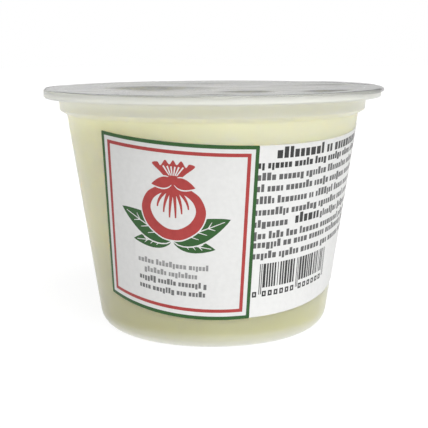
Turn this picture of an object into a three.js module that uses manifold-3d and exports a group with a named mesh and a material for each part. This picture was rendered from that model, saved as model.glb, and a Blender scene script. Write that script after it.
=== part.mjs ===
// A sealed round tub of burrata in its cloudy liquid: a translucent tub with a thick rim, the liquid that
// fills it, a clear film sealed over the mouth, and two paper labels side by side on the tapered wall.
// Millimetres, +Z up. The origin is the centre of the base, and the front faces -Y.
import * as THREE from "three";
import { mergeVertices } from "three/addons/utils/BufferGeometryUtils.js";
import Module from "manifold-3d";

// Tub, outer sizes
const RIM_RADIUS = 49.8;
const RIM_TOP = 71.2;
const RIM_FOOT = 68.7;
const RIM_ROUND = 0.5;
const RIM_UNDER_ROUND = 1.1;
const COLLAR_TOP_RADIUS = 45.5;
const COLLAR_FOOT_RADIUS = 45.2;
const COLLAR_FOOT = 65.1;
const WALL_TOP_RADIUS = 43.2;
const WALL_TOP = 64.0;
const WALL_FOOT_RADIUS = 33.8;
const FOOT_ROUND = 5.4;
const RECESS_RADIUS = 25.5;
const RECESS_LEAN = 1.0;
const RECESS_DEPTH = 1.6;
const WALL_THICKNESS = 0.8;

// Liquid, film and labels
const FILL_LEVEL = 69.0;
const FILL_GAP = 0.1;
const FILM_RADIUS = 50.65;
const FILM_THICKNESS = 0.2;
const FILM_GAP = 0.05;
const FILM_SAG = 0.5;
const FILM_EDGE_LIFT = 0.2;
const LABEL_THICKNESS = 0.2;
const LABEL_GAP = 0.1;
const LABEL_SEAM_ANGLE = THREE.MathUtils.degToRad(17.2); // where the labels meet, to the right of the front

// Each label lies on a flat strip that is wrapped on the wall. Its corners run round from the lower left one
// and count across from the seam and up the slope from the base. Its lower and upper edges bow out a little.
const FRONT_LABEL = {
  corners: [[-43.7, 10.5], [-0.75, 9.65], [-0.25, 58.5], [-45.8, 58.3]],
  lowerBow: 0.85,
  upperBow: 0.25,
};
const INFO_LABEL = {
  corners: [[-0.45, 9.75], [53.0, 12.1], [54.0, 56.9], [0.05, 58.45]],
  lowerBow: 0.3,
  upperBow: 0.2,
};

// Fineness of the round shapes
const TURN_STEPS = 96;
const FOOT_STEPS = 6;
const ROUND_STEPS = 3;
const FILM_STEPS = 3;
const LABEL_EDGE_STEPS = 10;

// The wall is a cone standing on its tip, so a flat label wrapped round it is a flat piece of that cone.
const WALL_LEAN = Math.atan2(WALL_TOP_RADIUS - WALL_FOOT_RADIUS, WALL_TOP);
const TIP_TO_BASE = WALL_FOOT_RADIUS / Math.sin(WALL_LEAN);

const wasm = await Module();
wasm.setup();

const point = (radius, height) => new THREE.Vector2(radius, height);

function arc(centre, radius, from, to, steps) {
  const angles = Array.from({ length: steps + 1 }, (_, i) => from + ((to - from) * i) / steps);
  return angles.map((a) => point(centre.x + radius * Math.cos(a), centre.y + radius * Math.sin(a)));
}

// Moves an open outline sideways, to the left of the way it runs, with its corners mitred.
function inset(outline, distance) {
  const steps = outline.slice(1).map((p, i) => p.clone().sub(outline[i]).normalize());
  return outline.map((p, i) => {
    const before = steps[Math.max(i - 1, 0)];
    const after = steps[Math.min(i, steps.length - 1)];
    const left = point(-before.y - after.y, before.x + after.x).normalize();
    const mitre = distance / (left.x * -before.y + left.y * before.x);
    return p.clone().addScaledVector(left, mitre);
  });
}

// The tub's outer side from the middle of the base up to the top of the collar, under the rim.
function outerSide() {
  const wallRadius = WALL_FOOT_RADIUS + FOOT_ROUND * Math.tan(WALL_LEAN);
  const footCentre = point(wallRadius - FOOT_ROUND / Math.cos(WALL_LEAN), FOOT_ROUND);
  return [
    point(0, RECESS_DEPTH),
    point(RECESS_RADIUS - RECESS_LEAN, RECESS_DEPTH),
    point(RECESS_RADIUS, 0),
    ...arc(footCentre, FOOT_ROUND, -Math.PI / 2, -WALL_LEAN, FOOT_STEPS),
    point(WALL_TOP_RADIUS, WALL_TOP),
    point(COLLAR_FOOT_RADIUS, COLLAR_FOOT),
    point(COLLAR_TOP_RADIUS, RIM_FOOT),
  ];
}

// An inner side, moved in from the outer one and carried straight up to the top of the rim.
function innerSide(depth) {
  const side = inset(outerSide(), depth);
  side[0].x = 0;
  return [...side, point(side.at(-1).x, RIM_TOP)];
}

// The stretch of a side that lies under a level.
function under(side, level) {
  const kept = side.filter((p) => p.y < level);
  const last = kept.at(-1);
  const next = side[kept.length];
  return [...kept, last.clone().lerp(next, (level - last.y) / (next.y - last.y))];
}

function revolve(profile) {
  return new THREE.LatheGeometry(profile, TURN_STEPS).rotateX(Math.PI / 2);
}

// The rim's outer edge, round below and above.
function rimEdge() {
  const underCentre = point(RIM_RADIUS - RIM_UNDER_ROUND, RIM_FOOT + RIM_UNDER_ROUND);
  const topCentre = point(RIM_RADIUS - RIM_ROUND, RIM_TOP - RIM_ROUND);
  return [
    ...arc(underCentre, RIM_UNDER_ROUND, -Math.PI / 2, 0, ROUND_STEPS),
    ...arc(topCentre, RIM_ROUND, 0, Math.PI / 2, ROUND_STEPS),
  ];
}

function tubGeometry() {
  return revolve([...outerSide(), ...rimEdge(), ...innerSide(WALL_THICKNESS).reverse()]);
}

function liquidGeometry() {
  const side = under(innerSide(WALL_THICKNESS + FILL_GAP), FILL_LEVEL);
  return revolve([...side, point(0, FILL_LEVEL)]);
}

// The film lies flat on the rim, sags a little over the mouth, and its free edge lifts a little past the rim.
function filmGeometry() {
  const rest = RIM_TOP + FILM_GAP;
  const sagged = Array.from({ length: FILM_STEPS + 1 }, (_, i) => {
    const share = i / FILM_STEPS;
    return point(COLLAR_TOP_RADIUS * share, rest - FILM_SAG * (1 - share * share));
  });
  const lower = [...sagged, point(RIM_RADIUS, rest), point(FILM_RADIUS, rest + FILM_EDGE_LIFT)];
  const upper = lower.map((p) => point(p.x, p.y + FILM_THICKNESS)).reverse();
  return revolve([...lower, ...upper]);
}

// Where a place on the flat label strip comes to lie on the wall. Across counts from the labels' seam.
function onWall(across, up) {
  const fromTip = Math.hypot(across, TIP_TO_BASE + up);
  const turn = Math.atan2(across, TIP_TO_BASE + up) / Math.sin(WALL_LEAN);
  return {
    angle: LABEL_SEAM_ANGLE + turn,
    radius: fromTip * Math.sin(WALL_LEAN),
    height: (fromTip - TIP_TO_BASE) * Math.cos(WALL_LEAN),
  };
}

function solidOf(geometry) {
  const bare = geometry.clone();
  bare.deleteAttribute("normal");
  bare.deleteAttribute("uv");
  const merged = mergeVertices(bare);
  return new wasm.Manifold(
    new wasm.Mesh({
      numProp: 3,
      vertProperties: new Float32Array(merged.attributes.position.array),
      triVerts: new Uint32Array(merged.index.array),
    }),
  );
}

function geometryOf(solid) {
  const mesh = solid.getMesh();
  const geometry = new THREE.BufferGeometry();
  geometry.setAttribute("position", new THREE.BufferAttribute(mesh.vertProperties, 3));
  geometry.setIndex(new THREE.BufferAttribute(mesh.triVerts, 1));
  geometry.computeVertexNormals();
  return geometry;
}

// A thin skin round the whole wall, which the labels are cut from.
function wallSkin() {
  const radiusAt = (height) => WALL_FOOT_RADIUS + height * Math.tan(WALL_LEAN) + LABEL_GAP;
  const inner = [point(radiusAt(FOOT_ROUND), FOOT_ROUND), point(radiusAt(WALL_TOP), WALL_TOP)];
  const outer = inner.map((p) => point(p.x + LABEL_THICKNESS, p.y)).reverse();
  return revolve([inner[0], outer[1], outer[0], inner[1], inner[0]]);
}

// A flat label of the strip, wrapped on the wall.
function labelGeometry({ corners, lowerBow, upperBow }) {
  const bows = [-lowerBow, 0, upperBow, 0];
  const [start, , end] = corners;
  const middle = onWall((start[0] + end[0]) / 2, (start[1] + end[1]) / 2).angle;
  const outline = corners.flatMap(([x0, y0], i) => {
    const [x1, y1] = corners[(i + 1) % corners.length];
    return Array.from({ length: LABEL_EDGE_STEPS }, (_, k) => {
      const share = k / LABEL_EDGE_STEPS;
      const bow = bows[i] * 4 * share * (1 - share);
      const place = onWall(x0 + (x1 - x0) * share, y0 + (y1 - y0) * share + bow);
      return point(place.radius * Math.sin(place.angle - middle), place.height);
    });
  });
  const cutter = new THREE.ExtrudeGeometry(new THREE.Shape(outline), {
    depth: RIM_RADIUS,
    bevelEnabled: false,
  });
  const outward = new THREE.Vector3(Math.sin(middle), -Math.cos(middle), 0);
  const sideways = new THREE.Vector3(Math.cos(middle), Math.sin(middle), 0);
  const upward = new THREE.Vector3(0, 0, 1);
  cutter.applyMatrix4(new THREE.Matrix4().makeBasis(sideways, upward, outward));
  return geometryOf(solidOf(wallSkin()).intersect(solidOf(cutter)));
}

function piece(name, geometry, look) {
  const mesh = new THREE.Mesh(geometry, new THREE.MeshStandardMaterial({ metalness: 0, ...look }));
  mesh.name = name;
  return mesh;
}

const burrataTub = new THREE.Group();
burrataTub.add(
  piece("tub", tubGeometry(), { color: "#e4e6d6", roughness: 0.35, transparent: true, opacity: 0.6 }),
  piece("liquid", liquidGeometry(), { color: "#dcdcb4", roughness: 0.3 }),
  piece("film", filmGeometry(), { color: "#d8dad8", roughness: 0.15, transparent: true, opacity: 0.35 }),
  piece("label_front", labelGeometry(FRONT_LABEL), { color: "#ececea", roughness: 0.5 }),
  piece("label_info", labelGeometry(INFO_LABEL), { color: "#f4f4f2", roughness: 0.5 }),
);

export default burrataTub;
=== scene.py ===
"""Looks of a sealed tub of burrata: a milky plastic tub of cloudy liquid, a clear film and two paper labels.

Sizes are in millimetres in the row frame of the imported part. Meshes are scaled to metres when they are made.
"""
import math
import random

import bmesh
import bpy
import numpy as np
from mathutils import Matrix, Vector, geometry


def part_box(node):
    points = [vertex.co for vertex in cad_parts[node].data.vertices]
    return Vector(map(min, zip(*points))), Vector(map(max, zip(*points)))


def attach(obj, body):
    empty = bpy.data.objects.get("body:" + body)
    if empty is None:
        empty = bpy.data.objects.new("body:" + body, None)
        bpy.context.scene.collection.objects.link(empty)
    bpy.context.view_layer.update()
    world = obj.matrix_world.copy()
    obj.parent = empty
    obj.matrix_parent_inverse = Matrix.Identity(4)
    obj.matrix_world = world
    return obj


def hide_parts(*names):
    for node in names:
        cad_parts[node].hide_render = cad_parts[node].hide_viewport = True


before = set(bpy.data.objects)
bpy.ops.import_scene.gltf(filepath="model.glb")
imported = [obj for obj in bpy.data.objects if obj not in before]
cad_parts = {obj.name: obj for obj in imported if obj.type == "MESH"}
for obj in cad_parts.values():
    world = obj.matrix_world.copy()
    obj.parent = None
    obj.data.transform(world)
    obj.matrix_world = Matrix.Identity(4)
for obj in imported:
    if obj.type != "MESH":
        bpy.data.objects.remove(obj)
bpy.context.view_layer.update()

MM = 0.001

# Sizes read from the frame
RIM_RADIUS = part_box("tub")[1].x / MM
RIM_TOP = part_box("tub")[1].z / MM
FILL_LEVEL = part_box("liquid")[1].z / MM

# Tub, outer sizes
RIM_FOOT = 68.7
RIM_LAP = 0.3  # how far the cup reaches into the rim
RIM_ROUND = 0.5
RIM_UNDER_ROUND = 0.6
COLLAR_TOP_RADIUS = 45.5
COLLAR_FOOT_RADIUS = 45.2
COLLAR_FOOT = 65.1
WALL_TOP_RADIUS = 43.2
WALL_TOP = 64.0
WALL_FOOT_RADIUS = 33.8
FOOT_ROUND = 5.4
RECESS_RADIUS = 25.5
RECESS_LEAN = 1.0
RECESS_DEPTH = 1.6
WALL_THICKNESS = 0.8
EDGE_ROUND = 0.5
STEP_ROUND = 0.7
LEAST_ROUND = 0.2  # of a rounded corner that is moved inwards
FLAT_RADIUS = RIM_RADIUS - RIM_ROUND  # of the rim's flat top

# Liquid
LIQUID_BITE = 0.25  # how far the liquid reaches into the wall
MENISCUS_RISE = 0.8
MENISCUS_WIDTH = 1.2
MENISCUS_REACH = 6.0  # how far in from the wall its surface has fine rings
SURFACE_RINGS = (10, 18, 28)  # coarse rings further in from the wall

# Film
FILM_THICKNESS = 0.06
FILM_GAP = 0.03
FILM_SAG = 0.2
SEAL_EDGE = 48.6  # where the film's sheet ends and its outer ring starts
SEAL_RADIUS = 46.0  # the film is loose inside it
SEAL_SOFTNESS = 2.5  # over how much of the radius it gets loose

# Labels, on a flat strip that is wrapped on the wall: across counts from the seam, up from the base
LABEL_SEAM_ANGLE = math.radians(17.2)
LABEL_PAPER = 0.14  # its thickness
LABEL_LIFT = 0.02  # its gap to the wall
LABEL_OVERLAP = 2.0
LABEL_CORNER = 0.35
LABEL_HEIGHT = 48.0  # of the flat artwork of both labels
# Where a label's paper starts, the width of its artwork, its corners on the strip from the bottom left one
# round to the top left one, and how far its lower and upper edges bow out between them
FRONT_LABEL = {
    "left": 0.0,
    "width": 44.5,
    "corners": ((-43.7, 10.5), (-0.75, 9.65), (-0.25, 58.5), (-45.8, 58.3)),
    "bows": (0.85, 0.25),
}
INFO_LABEL = {
    "left": -LABEL_OVERLAP,
    "width": 54.0,
    "corners": ((-0.45, 9.75), (53.0, 12.1), (54.0, 56.9), (0.05, 58.45)),
    "bows": (0.3, 0.2),
}

# Fineness of the round shapes
TURNS = 240
ARC_STEPS = 7
CORNER_STEPS = 4
MENISCUS_STEPS = 12
LABEL_SLICE = 1.0
SHEET_RINGS = 82
SEAL_RINGS = 4
EDGE_RINGS = 14

# The wall is a cone standing on its tip, so a flat label wrapped round it is a flat piece of that cone.
WALL_LEAN = math.atan2(WALL_TOP_RADIUS - WALL_FOOT_RADIUS, WALL_TOP)
TIP_TO_BASE = WALL_FOOT_RADIUS / math.sin(WALL_LEAN)


# Meshes

def make_piece(name, points, faces, materials, smooth_below=30):
    """A mesh piece from points in millimetres, shaded smooth except over sharp edges."""
    mesh = bpy.data.meshes.new(name)
    mesh.from_pydata((np.asarray(points, float) * MM).tolist(), [], faces)
    work = bmesh.new()
    work.from_mesh(mesh)
    bmesh.ops.recalc_face_normals(work, faces=work.faces)
    work.to_mesh(mesh)
    work.free()
    mesh.shade_smooth()
    mesh.set_sharp_from_angle(angle=math.radians(smooth_below))
    for material in materials:
        mesh.materials.append(material)
    piece = bpy.data.objects.new(name, mesh)
    bpy.context.scene.collection.objects.link(piece)
    return piece


def unit(vector):
    return vector / np.linalg.norm(vector)


def rounded(corners):
    """Points of an open outline of (radius, height, rounding) corners, with an arc at each rounded one."""
    places = [np.array(corner[:2], float) for corner in corners]
    points = []
    for i, (here, corner) in enumerate(zip(places, corners)):
        rounding = corner[2]
        if rounding == 0:
            points.append(here)
            continue
        back = unit(places[i - 1] - here)
        ahead = unit(places[i + 1] - here)
        half = math.acos(np.clip(back @ ahead, -1, 1)) / 2
        centre = here + unit(back + ahead) * rounding / math.sin(half)
        spokes = [unit(here + way * rounding / math.tan(half) - centre) for way in (back, ahead)]
        swing = math.pi - 2 * half
        for step in range(ARC_STEPS + 1):
            share = step / ARC_STEPS
            spoke = math.sin((1 - share) * swing) * spokes[0] + math.sin(share * swing) * spokes[1]
            points.append(centre + unit(spoke) * rounding)
    return np.array(points)


def inset(corners, depth):
    """Corners moved to the left of the way that they run, mitred, with their roundings kept concentric."""
    places = [np.array(corner[:2], float) for corner in corners]
    ways = [unit(b - a) for a, b in zip(places, places[1:])]
    moved = []
    for i, (here, corner) in enumerate(zip(places, corners)):
        before = ways[max(i - 1, 0)]
        after = ways[min(i, len(ways) - 1)]
        normal = np.array((-before[1], before[0]))
        left = unit(normal + np.array((-after[1], after[0])))
        turn = np.sign(before[0] * after[1] - before[1] * after[0])
        rounding = max(corner[2] - turn * depth, LEAST_ROUND) if corner[2] else 0
        moved.append((*(here + left * depth / (left @ normal)), rounding))
    moved[0] = (0, *moved[0][1:])
    return moved


def outer_corners():
    """The tub's outer side from the middle of the base up to the top of the collar."""
    return [
        (0, RECESS_DEPTH, 0),
        (RECESS_RADIUS - RECESS_LEAN, RECESS_DEPTH, EDGE_ROUND),
        (RECESS_RADIUS, 0, EDGE_ROUND),
        (WALL_FOOT_RADIUS, 0, FOOT_ROUND),
        (WALL_TOP_RADIUS, WALL_TOP, STEP_ROUND),
        (COLLAR_FOOT_RADIUS, COLLAR_FOOT, STEP_ROUND),
        (COLLAR_TOP_RADIUS, RIM_FOOT, EDGE_ROUND),
    ]


def inner_corners(depth):
    """An inner side, moved in from the outer one and carried straight up to the top of the rim."""
    corners = inset(outer_corners() + [(RIM_RADIUS, RIM_FOOT, 0)], depth)[:-1]
    mouth = corners[-1][0]
    return [*corners[:-1], (mouth, RIM_FOOT, 0), (mouth, RIM_TOP, 0)]


def revolved(outline, closed=False, turns=TURNS):
    """Points and faces of a (radius, height) outline turned about the axis, on which an open one ends."""
    points, rings, faces = [], [], []
    angles = np.arange(turns) * 2 * math.pi / turns
    for radius, height in outline:
        start = len(points)
        if radius < 1e-6:
            points.append((0, 0, height))
            rings.append([start] * turns)
            continue
        points += [(radius * math.sin(a), -radius * math.cos(a), height) for a in angles]
        rings.append(list(range(start, start + turns)))
    if closed:
        rings.append(rings[0])
    for low, high in zip(rings, rings[1:]):
        for i in range(turns):
            k = (i + 1) % turns
            face = dict.fromkeys((low[i], low[k], high[k], high[i]))
            if len(face) > 2:
                faces.append(tuple(face))
    return np.array(points, float), faces


# Tub, liquid and film

def make_cup(material):
    """The cup, which reaches a little into the rim."""
    outside = outer_corners()
    inside = inner_corners(WALL_THICKNESS)[:-1]
    for side in (outside, inside):
        side[-1] = (side[-1][0], RIM_FOOT + RIM_LAP, 0)
    points, faces = revolved(rounded(outside + inside[::-1]))
    return make_piece("tub_cup", points, faces, [material])


def make_rim(material):
    """The thick rim, a ring on top of the cup."""
    mouth = inner_corners(WALL_THICKNESS)[-1][0]
    outline = [
        (mouth, RIM_FOOT, 0),
        (RIM_RADIUS, RIM_FOOT, RIM_UNDER_ROUND),
        (RIM_RADIUS, RIM_TOP, RIM_ROUND),
        (mouth, RIM_TOP, 0),
    ]
    points, faces = revolved(rounded(outline), closed=True)
    return make_piece("tub_rim", points, faces, [material])


def make_liquid(material):
    """The liquid's side lies just inside the wall's material, and its top climbs a little at the wall."""
    side = rounded(inner_corners(WALL_THICKNESS - LIQUID_BITE))
    top = FILL_LEVEL + MENISCUS_RISE
    side = side[: np.argmax(side[:, 1] > top)]
    edge = side[-1][0]
    fine_rings = np.linspace(0, MENISCUS_REACH, MENISCUS_STEPS + 1)
    radii = edge - np.concatenate((fine_rings, SURFACE_RINGS, [edge]))
    surface = [(r, FILL_LEVEL + MENISCUS_RISE * math.exp((r - edge) / MENISCUS_WIDTH)) for r in radii]
    points, faces = revolved(np.vstack((side, surface)))
    return make_piece("cloudy_liquid", points, faces, [material])


# Shallow bowls in the film: across, back, half length back, width as a share of that, depth
FILM_BOWLS = (
    (-15.0, -6.0, 18.0, 1.00, 0.90),
    (9.2, -28.5, 8.5, 1.0, 0.42),
    (0.5, -46.5, 7.5, 1.0, 0.24),
    (33.5, -30.5, 10.5, 1.0, 0.58),
    (34.0, 8.0, 10.0, 1.0, 0.22),
    (0.0, 20.0, 17.0, 1.2, 0.24),
)
BOWL_EDGE = 0.08  # how soft a bowl's edge is, as a share of its radius
# Slight waves: radians per mm across and back, start
FILM_WAVES = ((0.21, 0.33, 0.4), (-0.38, 0.24, 2.1), (0.12, -0.55, 4.0))
WAVE_HEIGHT = 0.012
# Raised blisters in the seal: across, back, size, height
SEAL_BLISTERS = ((-24.6, -42.6, 0.9, 0.08), (31.0, -36.5, 0.7, 0.06), (-40.0, 24.0, 0.8, 0.07))
FREE_EDGE = 1.1  # length of the film's edge past the rim's flat top
EDGE_BEND = 0.83  # how sharply it bends down, in radians per mm
LEAST_BEND = 0.05  # stands for an edge that hardly bends
EDGE_TURN = 1.45  # how far it bends at most, in radians
# Where the free edge differs: azimuth and spread in degrees, how much longer, how much sharper
EDGE_CHANGES = ((-80, 50, -1.0, 0.0), (66, 20, 0.5, 0.3), (115, 36, 0.1, -1.15))
# Waves round the film's edge: how many, how far out, how far up, start
EDGE_WAVES = ((3, 0.02, 0.06, 0.7), (8, 0.03, 0.04, 2.0), (17, 0.02, 0.02, 0.3))


def soft_ramp(value, softness):
    """Zero below zero and the value itself above, with a soft bend between."""
    return softness * np.logaddexp(0, value / softness)


def film_relief(x, y):
    """How far the film lies under its seal: a sag, shallow bowls, slight waves and a few raised blisters."""
    radius = np.hypot(x, y)
    inside = np.clip((SEAL_RADIUS - radius) / SEAL_SOFTNESS, 0, 1)
    inside = inside**2 * (3 - 2 * inside)
    fall = FILM_SAG * np.clip(1 - (radius / SEAL_RADIUS) ** 2, 0, 1)
    for across, back, size, width, depth in FILM_BOWLS:
        away = np.hypot((x - across) / width, y - back) / size
        fall = fall + inside * depth * soft_ramp(1 - away**2, BOWL_EDGE)
    for rate_x, rate_y, start in FILM_WAVES:
        fall = fall + inside * WAVE_HEIGHT * (1 + np.sin(rate_x * x + rate_y * y + start))
    for across, back, size, height in SEAL_BLISTERS:
        fall = fall - height * np.exp(-(((x - across) ** 2 + (y - back) ** 2) / size**2))
    return fall


def free_edge(angle):
    """Length and bend of the film's free edge round the rim."""
    length = np.full_like(angle, FREE_EDGE)
    bend = np.full_like(angle, EDGE_BEND)
    for azimuth, spread, longer, sharper in EDGE_CHANGES:
        away = np.angle(np.exp(1j * (angle - math.radians(azimuth))))
        share = np.exp(-((away / math.radians(spread)) ** 2))
        length += longer * share
        bend += sharper * share
    return length, np.where(np.abs(bend) < LEAST_BEND, LEAST_BEND, bend)


def make_film(name, radii, material):
    """A thin round sheet or ring of film: flat on the rim, sagging over the mouth and bent past the rim."""
    lower = [(r, FILM_GAP) for r in radii]
    upper = [(r, FILM_GAP + FILM_THICKNESS) for r in radii[::-1]]
    points, faces = revolved(np.array(lower + upper), closed=True)
    x, y, above = points.T
    radius, angle = np.hypot(x, y), np.arctan2(x, -y)
    length, bend = free_edge(angle)
    past = np.clip((radius - FLAT_RADIUS) / FREE_EDGE, 0, 1)
    turn = np.clip(past * length * bend, -EDGE_TURN, EDGE_TURN)
    straight = past * length - turn / bend
    radius = np.minimum(radius, FLAT_RADIUS) + np.sin(turn) * (1 / bend + above) + straight * np.cos(turn)
    fall = film_relief(x, y) + (1 - np.cos(turn)) / bend + straight * np.sin(turn)
    height = RIM_TOP - fall + above * np.cos(turn)
    for waves, out, up, start in EDGE_WAVES:
        swing = np.sin(waves * angle + start)
        radius = radius + past * out * swing
        height = height + past**2 * up * (1 + swing) / 2
    points = np.stack((radius * np.sin(angle), -radius * np.cos(angle), height), axis=1)
    return make_piece(name, points, faces, [material])


# Shapes of the print, flat on a label with its origin at the label's lower left corner

PAPER, GREEN, RED, BLACK, GREY = range(5)


def box_shape(left, low, right, high):
    return [(left, low), (right, low), (right, high), (left, high)]


def moved(shape, across, up, angle=0.0):
    """A shape turned about its own origin and then moved."""
    c, s = math.cos(angle), math.sin(angle)
    return [(across + x * c - y * s, up + x * s + y * c) for x, y in shape]


def smooth_loop(knots, steps=6):
    """A closed smooth curve through a few points."""
    knots = np.array(knots, float)
    count = len(knots)
    curve = []
    for i in range(count):
        a, b, c, d = (knots[(i + k) % count] for k in (-1, 0, 1, 2))
        for step in range(steps):
            t = step / steps
            bend = (2 * a - 5 * b + 4 * c - d) * t**2 + (3 * b - a - 3 * c + d) * t**3
            curve.append(tuple(b + 0.5 * ((c - a) * t + bend)))
    return curve


def shrunk(loop, depth):
    """A closed outline, run counterclockwise, moved inwards."""
    loop = np.array(loop, float)
    way = np.roll(loop, -1, axis=0) - np.roll(loop, 1, axis=0)
    way /= np.linalg.norm(way, axis=1)[:, None]
    return [tuple(p) for p in loop + depth * np.stack((-way[:, 1], way[:, 0]), axis=1)]


def stroke(line, width, tip_width):
    """A band along an open line, which changes its width towards its tip."""
    line = [np.array(p, float) for p in line]
    left, right = [], []
    for i, here in enumerate(line):
        way = unit(line[min(i + 1, len(line) - 1)] - line[max(i - 1, 0)])
        share = i / (len(line) - 1)
        half = (width + (tip_width - width) * share) / 2
        side = np.array((-way[1], way[0])) * half
        left.append(tuple(here + side))
        right.append(tuple(here - side))
    return right + left[::-1]


LEAF_SKEW = 0.75  # below 1, the leaf is widest near its stalk
LEAF_FULLNESS = 0.85  # below 1, its ends are blunter
LEAF_STEPS = 14


def leaf(length, width):
    """A pointed leaf along +X from its stalk."""
    shares = [i / LEAF_STEPS for i in range(1, LEAF_STEPS)]
    bulge = [width / 2 * math.sin(math.pi * s**LEAF_SKEW) ** LEAF_FULLNESS for s in shares]
    lower = [(length * s, -b) for s, b in zip(shares, bulge)]
    upper = [(length * s, b) for s, b in zip(shares, bulge)]
    return [(0, 0), *lower, (length, 0), *upper[::-1]]


# Border lines: ink, how far in from the label's edge, width
BORDER_LINES = ((GREEN, 0.0, 1.0), (RED, 2.1, 0.95))


def border_shapes(width, height):
    """A green line along the label's edge and a red one inside it."""
    shapes = []
    for ink, outer, line in BORDER_LINES:
        inner = outer + line
        shapes.append((ink, box_shape(outer, outer, width - outer, height - outer)))
        shapes.append((PAPER, box_shape(inner, inner, width - inner, height - inner)))
    return shapes


# Leaves of the sprig: direction in degrees, length and width, back to front
SPRIG_LEAVES = ((-8, 12.0, 4.4), (23, 17.0, 6.6))
LEAF_GAP = 0.35
# Veins, as shares of the leaf's length and width, and their widths at the start and the tip
MIDDLE_VEIN = (0.08, 0.9)
MIDDLE_VEIN_WIDTHS = (0.432, 0.18)
SIDE_VEINS = (0.26, 0.44, 0.62)
SIDE_VEIN_REACH = 0.34
SIDE_VEIN_TAPER = 1.15  # their reach would end at this share of the length
SIDE_VEIN_SLANT = 1.3
SIDE_VEIN_WIDTHS = (0.288, 0.144)


def leaf_shapes(length, width):
    """A leaf with a bare edge round it, a bare middle vein and side veins."""
    shapes = [(PAPER, moved(leaf(length + 2 * LEAF_GAP, width + 2 * LEAF_GAP), -LEAF_GAP, 0))]
    shapes.append((GREEN, leaf(length, width)))
    middle = [(length * share, 0) for share in MIDDLE_VEIN]
    shapes.append((PAPER, stroke(middle, *MIDDLE_VEIN_WIDTHS)))
    for share in SIDE_VEINS:
        for side in (-1, 1):
            reach = width * SIDE_VEIN_REACH * (SIDE_VEIN_TAPER - share)
            vein = [(length * share, 0), (length * share + reach * SIDE_VEIN_SLANT, side * reach)]
            shapes.append((PAPER, stroke(vein, *SIDE_VEIN_WIDTHS)))
    return shapes


def sprig_shapes(across, up):
    """Leaves spread alike to both sides from one point."""
    shapes = []
    for degrees, length, width in SPRIG_LEAVES:
        for angle in (math.radians(degrees), math.pi - math.radians(degrees)):
            shapes += [(ink, moved(shape, across, up, angle)) for ink, shape in leaf_shapes(length, width)]
    return shapes


# Right halves of the outlines of a tied pouch, upwards from the middle line and back to it
POUCH_BODY = ((0, -8.9), (3.4, -8.3), (7.4, -5.4), (9.0, -1.0), (7.4, 3.2), (4.0, 5.6), (1.9, 7.0), (0, 7.2))
POUCH_INSIDE = ((0, -6.0), (2.4, -5.5), (5.0, -3.6), (6.3, -0.8), (5.4, 1.9), (3.0, 3.7), (0, 4.4))
POUCH_FRILL = (
    (0, 7.0),
    (1.7, 7.6),
    (3.4, 9.2),
    (5.8, 11.3),
    (4.3, 11.9),
    (3.4, 11.0),
    (2.2, 12.6),
    (1.0, 11.5),
    (0, 12.7),
)
# Folds run down from the pouch's neck, each with a crease in the frill above it
POUCH_FOLDS = (-0.62, -0.36, -0.12, 0.12, 0.36, 0.62)  # how far each spreads sideways
FOLD_TOP = 5.2
FOLD_LENGTH = 8.6
FOLD_SHORTENING = 5.2  # of the outer folds
FOLD_STEPS = 6
FOLD_WIDTHS = (1.2, 0.4)
NECK_SPREAD = 1.6  # of the folds at the neck
FOLD_SPREAD = 5.4  # of the folds below it
FOLD_CURL = 1.5  # in radians over a fold's length
FOLD_EASE = 1.1
CREASE_HEIGHTS = (8.6, 11.0)
CREASE_SPREADS = (1.6, 4.4)
CREASE_WIDTHS = (0.25, 0.45)
BOW_HEIGHT = 7.2
BOW_LOOP = (6.2, 3.0)  # length and width
BOW_DROOP = math.radians(-14)
BOW_KNOT = ((-1.6, 6.3), (0, 6.1), (1.6, 6.3), (1.6, 8.0), (0, 8.2), (-1.6, 8.0))


def mirrored_loop(half):
    """A closed smooth outline from its right half, whose ends lie on the middle line."""
    return smooth_loop([*half, *((-x, y) for x, y in half[-2:0:-1])])


def pouch_shapes(across, up):
    """A tied pouch in red, with folds running down from its neck, a frill above and a bow."""
    shapes = []
    for loop in (mirrored_loop(POUCH_FRILL), mirrored_loop(POUCH_BODY)):
        shapes.append((PAPER, shrunk(loop, -LEAF_GAP)))
        shapes.append((RED, loop))
    shapes.append((PAPER, mirrored_loop(POUCH_INSIDE)))
    for lean in POUCH_FOLDS:
        length = FOLD_LENGTH - FOLD_SHORTENING * abs(lean)
        fold = []
        for step in range(FOLD_STEPS + 1):
            share = step / FOLD_STEPS
            spread = NECK_SPREAD + FOLD_SPREAD * math.sin(FOLD_CURL * share)
            fold.append((lean * spread, FOLD_TOP - length * share**FOLD_EASE))
        shapes.append((RED, stroke(fold, *FOLD_WIDTHS)))
        crease = [(lean * spread, height) for spread, height in zip(CREASE_SPREADS, CREASE_HEIGHTS)]
        shapes.append((PAPER, stroke(crease, *CREASE_WIDTHS)))
    for angle in (BOW_DROOP, math.pi - BOW_DROOP):
        for ink, grown in ((PAPER, LEAF_GAP), (RED, 0)):
            loop = leaf(BOW_LOOP[0] + grown, BOW_LOOP[1] + 2 * grown)
            shapes.append((ink, moved(loop, 0, BOW_HEIGHT, angle)))
    shapes.append((RED, smooth_loop(BOW_KNOT, steps=3)))
    return [(ink, moved(shape, across, up)) for ink, shape in shapes]


# Blocks of a row of print: how many stand together, and their sizes and gaps as shares of the row's height
BLOCK_GROUP = (2, 9)
BLOCK_WIDTHS = (0.45, 0.8)
BLOCK_HEIGHTS = (1, 1, 1, 1, 1.4)
BLOCK_DROPS = (0, 0, 0, 0, 0, 0, 0.3)
BLOCK_GAP = 0.2
GROUP_GAP = 0.45


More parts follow.
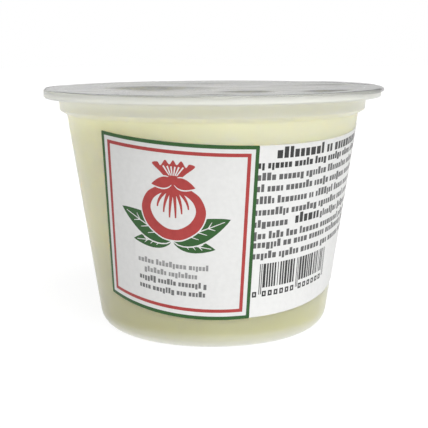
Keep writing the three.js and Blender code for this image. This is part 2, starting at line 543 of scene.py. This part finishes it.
def block_row(draw, left, right, baseline, height, ink=BLACK):
    """A row of small blocks of uneven width, in groups."""
    shapes = []
    across = left
    while across < right - height:
        for _ in range(draw.randint(*BLOCK_GROUP)):
            width = height * draw.uniform(*BLOCK_WIDTHS)
            if across + width > right:
                return shapes
            tall = height * draw.choice(BLOCK_HEIGHTS)
            drop = height * draw.choice(BLOCK_DROPS)
            shapes.append((ink, box_shape(across, baseline - drop, across + width, baseline + tall)))
            across += width + height * BLOCK_GAP
        across += height * GROUP_GAP
    return shapes


BAR_MODULE = 0.264  # width of the thinnest bar
BAR_MODULES = 95
BAR_WIDTHS = (1, 2, 2, 3, 3)
BAR_GAPS = (1, 1, 1, 2)
GUARD_DROP = 1.9  # how much longer the pairs of guard bars are


def bar_shapes(draw, left, low, high):
    """Upright bars and spaces of whole modules, with longer pairs at both ends and in the middle."""
    shapes = []

    def bar(place, modules, bottom):
        across = left + place * BAR_MODULE
        shapes.append((BLACK, box_shape(across, bottom, across + modules * BAR_MODULE, high)))

    middle = BAR_MODULES // 2
    for guard in (0, 2, middle - 1, middle + 1, BAR_MODULES - 3, BAR_MODULES - 1):
        bar(guard, 1, low)
    for first, last in ((4, middle - 3), (middle + 3, BAR_MODULES - 5)):
        place = first
        while place < last:
            thick = min(draw.choice(BAR_WIDTHS), last - place)
            bar(place, thick, low + GUARD_DROP)
            place += thick + draw.choice(BAR_GAPS)
    return shapes


DIGIT = (1.25, 1.6)  # width and height
DIGIT_EDGE = 0.46


def digit_shapes(left, baseline):
    """One block under every seven modules of the bars and one before them, each with a bare middle."""
    shapes = []
    width, height = DIGIT
    middle = BAR_MODULES // 2
    for place in (-7, *range(4, middle - 3, 7), *range(middle + 3, BAR_MODULES - 5, 7)):
        across = left + place * BAR_MODULE
        shapes.append((BLACK, box_shape(across, baseline, across + width, baseline + height)))
        inner = box_shape(DIGIT_EDGE, DIGIT_EDGE, width - DIGIT_EDGE, height - DIGIT_EDGE)
        shapes.append((PAPER, moved(inner, across, baseline)))
    return shapes


# Front label: heights above its lower edge, and the rows' inks and half lengths from the top one down
SPRIG_FOOT = 21.6
POUCH_MIDDLE = 30.6
FRONT_ROWS = ((GREY, 10.5), (GREY, 8.5), (BLACK, 10.2), (BLACK, 10.2))
FRONT_ROW_TOP = 13.9
FRONT_ROW_STEP = 2.5
FRONT_ROW_HEIGHT = 1.15


def front_shapes():
    """Border lines, a tied pouch over a sprig of leaves, and four short rows."""
    draw = random.Random(3)
    middle = FRONT_LABEL["width"] / 2
    shapes = border_shapes(FRONT_LABEL["width"], LABEL_HEIGHT)
    shapes += sprig_shapes(middle, SPRIG_FOOT)
    shapes += pouch_shapes(middle, POUCH_MIDDLE)
    for i, (ink, half) in enumerate(FRONT_ROWS):
        baseline = FRONT_ROW_TOP - FRONT_ROW_STEP * i
        shapes += block_row(draw, middle - half, middle + half, baseline, FRONT_ROW_HEIGHT, ink)
    return shapes


# Information label: stretches from left to right, and baselines down from the label's top
HEADING_STRETCH = (4.9, 47.0)
HEADING_DOWN = 3.6
HEADING_HEIGHT = 2.2
INFO_ROWS = (6.2, 9.4, 12.5, 15.8, 19.0, 22.3, 25.6, 28.1, 31.2)
INFO_STRETCH = (-0.5, 50.5)
INFO_ROW_HEIGHT = 1.5
BOLD_ROW = 22.3
BOLD_STRETCH = (12.2, 21.6)
BOLD_GAPS = (0.8, 0.6)  # before and after it
BOLD_HEIGHT = 2.1
BARS_LEFT = 2.0
BARS_DOWN = (32.7, 41.5)  # top and bottom
DIGITS_DOWN = 42.2


def info_shapes():
    """A large heading, rows of small blocks and a bar code."""
    draw = random.Random(11)
    shapes = block_row(draw, *HEADING_STRETCH, LABEL_HEIGHT - HEADING_DOWN, HEADING_HEIGHT)
    for down in INFO_ROWS:
        ink = BLACK if down == INFO_ROWS[0] else GREY
        stretches = [INFO_STRETCH]
        if down == BOLD_ROW:
            before = (INFO_STRETCH[0], BOLD_STRETCH[0] - BOLD_GAPS[0])
            after = (BOLD_STRETCH[1] + BOLD_GAPS[1], INFO_STRETCH[1])
            stretches = [before, after]
            shapes += block_row(draw, *BOLD_STRETCH, LABEL_HEIGHT - down, BOLD_HEIGHT)
        for left, right in stretches:
            shapes += block_row(draw, left, right, LABEL_HEIGHT - down, INFO_ROW_HEIGHT, ink)
    top, bottom = (LABEL_HEIGHT - down for down in BARS_DOWN)
    shapes += bar_shapes(draw, BARS_LEFT, bottom, top)
    shapes += digit_shapes(BARS_LEFT, LABEL_HEIGHT - DIGITS_DOWN)
    return shapes


# Labels

def on_wall(across, up, lift):
    """Points on the wall for places on the flat label strip, lifted off it."""
    from_tip = np.hypot(across, TIP_TO_BASE + up)
    angle = LABEL_SEAM_ANGLE + np.arctan2(across, TIP_TO_BASE + up) / math.sin(WALL_LEAN)
    radius = from_tip * math.sin(WALL_LEAN) + lift
    height = (from_tip - TIP_TO_BASE) * math.cos(WALL_LEAN)
    return np.stack((radius * np.sin(angle), -radius * np.cos(angle), height), axis=1)


def on_strip(places, width, corners, bows):
    """Places on a flat label spread over its four corners on the strip, with its long edges bowed out."""
    x = (places[:, 0] / width)[:, None]
    y = (places[:, 1] / LABEL_HEIGHT)[:, None]
    bottom_left, bottom_right, top_right, top_left = np.array(corners)
    bow = 4 * x * (1 - x) * (y * bows[1] - (1 - y) * bows[0])
    low = (1 - x) * bottom_left + x * bottom_right
    high = (1 - x) * top_left + x * top_right
    return (1 - y) * low + y * high + bow * (0, 1)


def label_outline(left, right):
    """A label's rectangle with small round corners."""
    outline = []
    centres = ((right, 0, -1, 1), (right, LABEL_HEIGHT, -1, -1), (left, LABEL_HEIGHT, 1, -1), (left, 0, 1, 1))
    for quarter, (x, y, in_x, in_y) in enumerate(centres):
        for step in range(CORNER_STEPS + 1):
            angle = math.radians(90 * (quarter - 1 + step / CORNER_STEPS))
            outline.append((
                x + LABEL_CORNER * (in_x + math.cos(angle)),
                y + LABEL_CORNER * (in_y + math.sin(angle)),
            ))
    return outline


def make_label(name, shapes, lift_at, materials, left, width, corners, bows):
    """A thin paper solid on the wall whose face is split along the print, each part in its own ink."""
    polygons = [label_outline(left, width)] + [shape for _, shape in shapes]
    inks = [PAPER] + [ink for ink, _ in shapes]
    flat, faces, edges = [], [], []
    for polygon in polygons:
        faces.append(list(range(len(flat), len(flat) + len(polygon))))
        flat += polygon
    for x in np.arange(left + LABEL_SLICE, width - LABEL_CORNER, LABEL_SLICE):
        edges.append((len(flat), len(flat) + 1))
        flat += [(x, 0), (x, LABEL_HEIGHT)]
    found = geometry.delaunay_2d_cdt([Vector(p) for p in flat], edges, faces, 1, 1e-4)
    places = np.array([tuple(p) for p in found[0]])
    triangles = [(tri, inks[max(owners)]) for tri, owners in zip(found[2], found[5]) if 0 in owners]

    count = len(places)
    strip = on_strip(places, width, corners, bows)
    lift = lift_at(strip[:, 0])
    over = on_wall(strip[:, 0], strip[:, 1], lift + LABEL_PAPER)
    under = on_wall(strip[:, 0], strip[:, 1], lift)
    uses = {}
    for tri, _ in triangles:
        for a, b in zip(tri, tri[1:] + tri[:1]):
            uses[frozenset((a, b))] = None if frozenset((a, b)) in uses else (a, b)
    border = [edge for edge in uses.values() if edge]
    all_faces = [tuple(tri) for tri, _ in triangles]
    all_faces += [tuple(count + i for i in reversed(tri)) for tri, _ in triangles]
    all_faces += [(a, b, count + b, count + a) for a, b in border]
    piece = make_piece(name, np.vstack((over, under)), all_faces, materials)
    for face, (_, ink) in zip(piece.data.polygons, triangles):
        face.material_index = ink
    return piece


def make_labels(front_materials, info_materials):
    """The front label's edge laps over the information label, whose own edge lies flat on the wall."""
    def flat_on_wall(across):
        return np.full_like(across, LABEL_LIFT)

    def over_seam(across):
        climb = np.clip((across + 2 * LABEL_OVERLAP) / LABEL_OVERLAP, 0, 1)
        return LABEL_LIFT + LABEL_PAPER * climb**2 * (3 - 2 * climb)

    front = make_label("front_label", front_shapes(), over_seam, front_materials, **FRONT_LABEL)
    info = make_label("info_label", info_shapes(), flat_on_wall, info_materials, **INFO_LABEL)
    return front, info


# Materials

def new_material(name, **values):
    """A material with one Principled shader, its plain values set on the shader's own sockets."""
    material = bpy.data.materials.new(name)
    material.use_nodes = True
    shader = material.node_tree.nodes["Principled BSDF"]
    for socket, value in values.items():
        shader.inputs[socket.replace("_", " ")].default_value = value
    return material, material.node_tree, shader


def noise(tree, scale, detail=3.0, roughness=0.55, stretch=None):
    """A noise texture in object coordinates."""
    place = tree.nodes.new("ShaderNodeTexCoord").outputs["Object"]
    if stretch:
        mapping = tree.nodes.new("ShaderNodeMapping")
        mapping.inputs["Scale"].default_value = stretch
        tree.links.new(place, mapping.inputs["Vector"])
        place = mapping.outputs["Vector"]
    node = tree.nodes.new("ShaderNodeTexNoise")
    node.inputs["Scale"].default_value = scale
    node.inputs["Detail"].default_value = detail
    node.inputs["Roughness"].default_value = roughness
    tree.links.new(place, node.inputs["Vector"])
    return node.outputs["Fac"]


def ranged(tree, value, low, high, from_low=0.3, from_high=0.7):
    """A value taken from one range to another. By default the first range is where most of a noise lies."""
    node = tree.nodes.new("ShaderNodeMapRange")
    node.inputs["From Min"].default_value = from_low
    node.inputs["From Max"].default_value = from_high
    node.inputs["To Min"].default_value = low
    node.inputs["To Max"].default_value = high
    tree.links.new(value, node.inputs["Value"])
    return node.outputs["Result"]


def ramp(tree, value, stops):
    """A colour for a value, from stops of a place and a colour."""
    node = tree.nodes.new("ShaderNodeValToRGB")
    elements = node.color_ramp.elements
    while len(elements) < len(stops):
        elements.new(0.5)
    for element, (place, colour) in zip(elements, stops):
        element.position = place
        element.color = (*colour, 1)
    tree.links.new(value, node.inputs["Fac"])
    return node.outputs["Color"]


def math_node(tree, operation, first, second):
    """Two values joined by an operation."""
    node = tree.nodes.new("ShaderNodeMath")
    node.operation = operation
    tree.links.new(first, node.inputs[0])
    tree.links.new(second, node.inputs[1])
    return node.outputs["Value"]


def bump(tree, shader, height, strength, distance):
    """Fine relief in a shader's surface."""
    node = tree.nodes.new("ShaderNodeBump")
    node.inputs["Strength"].default_value = strength
    node.inputs["Distance"].default_value = distance
    tree.links.new(height, node.inputs["Height"])
    tree.links.new(node.outputs["Normal"], shader.inputs["Normal"])


def object_height(tree, top):
    """Height in the object's own frame, as a share of a level in millimetres."""
    split = tree.nodes.new("ShaderNodeSeparateXYZ")
    tree.links.new(tree.nodes.new("ShaderNodeTexCoord").outputs["Object"], split.inputs["Vector"])
    return ranged(tree, split.outputs["Z"], 0, 1, 0, top * MM)


def milky_plastic(name, low, high, **values):
    """Translucent moulded plastic: milky, satin, with faint flow marks."""
    material, tree, shader = new_material(name, IOR=1.49, Roughness=0.3, **values)
    colour = ramp(tree, noise(tree, scale=40, stretch=(1, 1, 0.25)), [(0.3, low), (0.7, high)])
    tree.links.new(colour, shader.inputs["Base Color"])
    return material, tree, shader, colour


def rim_plastic():
    """The rim's thick plastic, which lets little light through."""
    low, high = (0.765, 0.775, 0.72), (0.815, 0.825, 0.78)
    return milky_plastic("milky_rim", low, high, Transmission_Weight=0.3)[0]


# How clear the cup is, and the painted shade that darkens its colour at the step and the collar under the rim,
# each as heights in millimetres and shares
CUP_CLEARNESS = ((0.0, 0.3), (2.0, 0.45), (5.5, 0.85), (63.6, 0.85), (65.2, 0.4))
CUP_PAINTED_SHADE = ((0.0, 1.0), (63.5, 1.0), (64.1, 0.72), (64.9, 0.72), (65.6, 0.85), (68.7, 0.82))


def cup_plastic():
    """The cup's plastic, clearest in the wall and milkier in the thicker foot and collar, with painted shade
    darkening its colour at the step and the collar under the rim.
    """
    low, high = (0.90, 0.91, 0.86), (0.94, 0.95, 0.91)
    material, tree, shader, colour = milky_plastic(
        "milky_cup", low, high, Sheen_Weight=0.15, Sheen_Roughness=0.5
    )
    height = object_height(tree, RIM_FOOT)
    clearness, painted_shade = (
        ramp(tree, height, [(level / RIM_FOOT, (share,) * 3) for level, share in stops])
        for stops in (CUP_CLEARNESS, CUP_PAINTED_SHADE)
    )
    tree.links.new(clearness, shader.inputs["Transmission Weight"])
    # Painted shade: the colour is darkened at the step and the collar under the rim
    shaded = tree.nodes.new("ShaderNodeVectorMath")
    shaded.operation = "MULTIPLY"
    tree.links.new(colour, shaded.inputs[0])
    tree.links.new(painted_shade, shaded.inputs[1])
    tree.links.new(shaded.outputs["Vector"], shader.inputs["Base Color"])
    return material


# Colours of the liquid from the base to its surface, as shares of the height. The change over height is
# painted shade: darkest towards the base, brightest at mid height, and greyer and darker at the brightly lit
# surface
LIQUID_TONES_AND_PAINTED_SHADE = [
    (0.0, (0.36, 0.34, 0.10)),
    (0.45, (0.78, 0.75, 0.37)),
    (0.93, (0.66, 0.66, 0.55)),
    (1.0, (0.52, 0.51, 0.37)),
]


def cloudy_liquid():
    """Cloudy whey with soft clouds, and painted shade over its height: darkest towards the base, greyer under
    the surface and darker at the brightly lit surface.
    """
    material, tree, shader = new_material(
        "cloudy_whey", Subsurface_Weight=1.0, Subsurface_Scale=0.05, Roughness=0.25, IOR=1.34
    )
    shader.inputs["Subsurface Radius"].default_value = (1.0, 0.9, 0.5)
    cloud = ranged(tree, noise(tree, scale=45, detail=4), low=-0.04, high=0.04)
    height = math_node(tree, "ADD", object_height(tree, FILL_LEVEL), cloud)
    # Painted shade over the height: darker towards the base and at the surface
    colour = ramp(tree, height, LIQUID_TONES_AND_PAINTED_SHADE)
    tree.links.new(colour, shader.inputs["Base Color"])
    return material


def clear_film():
    """Clear lidding film with a slightly uneven gloss."""
    material, tree, shader = new_material(
        "clear_film", Base_Color=(0.93, 0.93, 0.93, 1), Transmission_Weight=1.0, IOR=1.45
    )
    gloss = ranged(tree, noise(tree, scale=120), low=0.03, high=0.09)
    tree.links.new(gloss, shader.inputs["Roughness"])
    return material


# Darkest and palest tone of the coloured inks and of the labels' papers
GREEN_INK = ((0.009, 0.072, 0.006), (0.013, 0.088, 0.010))
RED_INK = ((0.34, 0.026, 0.024), (0.40, 0.035, 0.031))
FRONT_PAPER = ((0.67, 0.67, 0.66), (0.71, 0.71, 0.70))
INFO_PAPER = ((0.71, 0.71, 0.70), (0.75, 0.75, 0.74))
BLACK_SPREAD = 1.5  # of the black ink's palest tone over its darkest
GREY_SPREAD = 1.3
PAPER_SHINE = 0.2
INK_SHINE = 0.05


def printed(name, low, high, shine):
    """Coated paper or an ink on it, with faint fibres in its colour and gloss."""
    material, tree, shader = new_material(name, Coat_Weight=shine, Coat_Roughness=0.25)
    fibres = noise(tree, scale=700, detail=4)
    gloss = ranged(tree, noise(tree, scale=250), low=0.42, high=0.55)
    tree.links.new(ramp(tree, fibres, [(0.3, low), (0.7, high)]), shader.inputs["Base Color"])
    tree.links.new(gloss, shader.inputs["Roughness"])
    bump(tree, shader, fibres, strength=0.05, distance=0.0001)
    return material


def label_materials(name, paper, black, grey):
    """Paper and inks of a label, in the order of the ink numbers."""
    return [
        printed(name + "_paper", *paper, PAPER_SHINE),
        printed(name + "_green_ink", *GREEN_INK, INK_SHINE),
        printed(name + "_red_ink", *RED_INK, INK_SHINE),
        printed(name + "_black_ink", (black,) * 3, (black * BLACK_SPREAD,) * 3, INK_SHINE),
        printed(name + "_grey_ink", (grey,) * 3, (grey * GREY_SPREAD,) * 3, INK_SHINE),
    ]


# Stage: floor, light and camera

FLOOR_SIZE = 6000.0
CAMERA_DISTANCE = 300.0
CAMERA_TARGET_HEIGHT = 32.72
CAMERA_ELEVATION = math.radians(9.94)
CAMERA_ROLL = math.radians(-0.28)
CAMERA_LENS = 82.6
CAMERA_SHIFT = 0.0024
# Grey of the sky over the sine of the elevation, and how much of it lights the object: most from the back,
# its bright side, and little from the front
SKY_TONES = ((0.0, 0.62), (0.08, 0.55), (0.18, 0.24), (0.45, 0.3), (0.8, 0.7))
BRIGHT_SIDE = (-0.25, 0.97, 0.0)
BRIGHT_SHARE = 1.15
DIM_SHARE = 0.05


def make_floor():
    """A wide white floor."""
    half = FLOOR_SIZE / 2
    corners = [(-half, -half, 0), (half, -half, 0), (half, half, 0), (-half, half, 0)]
    material, _, _ = new_material(
        "pale_floor",
        Base_Color=(0.15, 0.15, 0.15, 1),
        Roughness=0.8,
        Emission_Color=(1, 1, 1, 1),
        Emission_Strength=0.87,
    )
    floor = make_piece("floor", corners, [(0, 1, 2, 3)], [material])


def make_world():
    """A studio sky: even in reflections, brightest at the back for other light, and white to the camera."""
    world = bpy.data.worlds.new("studio")
    world.use_nodes = True
    bpy.context.scene.world = world
    tree = world.node_tree
    background = tree.nodes["Background"]
    direction = tree.nodes.new("ShaderNodeTexCoord").outputs["Generated"]
    split = tree.nodes.new("ShaderNodeSeparateXYZ")
    tree.links.new(direction, split.inputs["Vector"])
    sky = ramp(tree, split.outputs["Z"], [(place, (grey,) * 3) for place, grey in SKY_TONES])
    rays = tree.nodes.new("ShaderNodeLightPath").outputs
    side = tree.nodes.new("ShaderNodeVectorMath")
    side.operation = "DOT_PRODUCT"
    side.inputs[1].default_value = BRIGHT_SIDE
    tree.links.new(direction, side.inputs[0])
    shaded = tree.nodes.new("ShaderNodeVectorMath")
    shaded.operation = "SCALE"
    tree.links.new(sky, shaded.inputs[0])
    mirrored = math_node(tree, "MULTIPLY", rays["Is Glossy Ray"], rays["Is Reflection Ray"])
    strength = ranged(tree, side.outputs["Value"], DIM_SHARE, BRIGHT_SHARE, 0, 1)
    tree.links.new(math_node(tree, "MAXIMUM", strength, mirrored), shaded.inputs["Scale"])
    backdrop = tree.nodes.new("ShaderNodeMix")
    backdrop.data_type = "RGBA"
    backdrop.inputs["B"].default_value = (1, 1, 1, 1)
    tree.links.new(rays["Is Camera Ray"], backdrop.inputs["Factor"])
    tree.links.new(shaded.outputs["Vector"], backdrop.inputs["A"])
    tree.links.new(backdrop.outputs["Result"], background.inputs["Color"])


def make_sun(name, azimuth, elevation, spread, strength):
    """A soft far light. Azimuth counts from the front towards the right."""
    light = bpy.data.lights.new(name, "SUN")
    light.angle = math.radians(spread)
    light.energy = strength
    lamp = bpy.data.objects.new(name, light)
    a, e = math.radians(azimuth), math.radians(elevation)
    towards = Vector((math.sin(a) * math.cos(e), -math.cos(a) * math.cos(e), math.sin(e)))
    lamp.rotation_euler = towards.to_track_quat("Z", "Y").to_euler()
    bpy.context.scene.collection.objects.link(lamp)


def make_camera():
    """The photograph's camera, in front of the tub and a little above it."""
    data = bpy.data.cameras.new("camera")
    data.lens = CAMERA_LENS
    data.sensor_width = 36
    data.shift_x = CAMERA_SHIFT
    data.clip_start = 0.01
    camera = bpy.data.objects.new("camera", data)
    back = Vector((0, -math.cos(CAMERA_ELEVATION), math.sin(CAMERA_ELEVATION)))
    place = Vector((0, 0, CAMERA_TARGET_HEIGHT)) + back * CAMERA_DISTANCE
    turn = back.to_track_quat("Z", "Y").to_matrix().to_4x4() @ Matrix.Rotation(CAMERA_ROLL, 4, "Z")
    camera.matrix_world = Matrix.Translation(place * MM) @ turn
    bpy.context.scene.collection.objects.link(camera)
    bpy.context.scene.camera = camera


make_camera()
make_floor()
make_world()
make_sun("key", azimuth=24, elevation=48, spread=45, strength=3.3)
make_sun("top", azimuth=0, elevation=85, spread=50, strength=0.5)
bpy.context.scene.view_settings.view_transform = "Standard"

cup = make_cup(cup_plastic())
rim = make_rim(rim_plastic())
liquid = make_liquid(cloudy_liquid())
film_material = clear_film()
film = make_film("lid_film", np.linspace(0, SEAL_EDGE, SHEET_RINGS), film_material)
seal_radii = np.linspace(SEAL_EDGE, FLAT_RADIUS, SEAL_RINGS)
edge_radii = np.linspace(FLAT_RADIUS, FLAT_RADIUS + FREE_EDGE, EDGE_RINGS)
film_seal = make_film("lid_seal", np.concatenate((seal_radii, edge_radii[1:])), film_material)
front_label, info_label = make_labels(
    label_materials("front", FRONT_PAPER, black=0.10, grey=0.22),
    label_materials("info", INFO_PAPER, black=0.018, grey=0.08),
)
# Light that passes through clear pieces isn't traced, so these two throw no shadow.
for piece in (cup, film):
    piece.visible_shadow = False

for piece, node, slot in (
    (cup, "tub", "tub_plastic"),
    (rim, "tub", "tub_plastic"),
    (liquid, "liquid", "cloudy_liquid"),
    (film, "film", "clear_film"),
    (film_seal, "film", "clear_film"),
    (front_label, "label_front", "label_paper"),
    (info_label, "label_info", "label_paper"),
):
    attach(piece, "root")
    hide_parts(node)
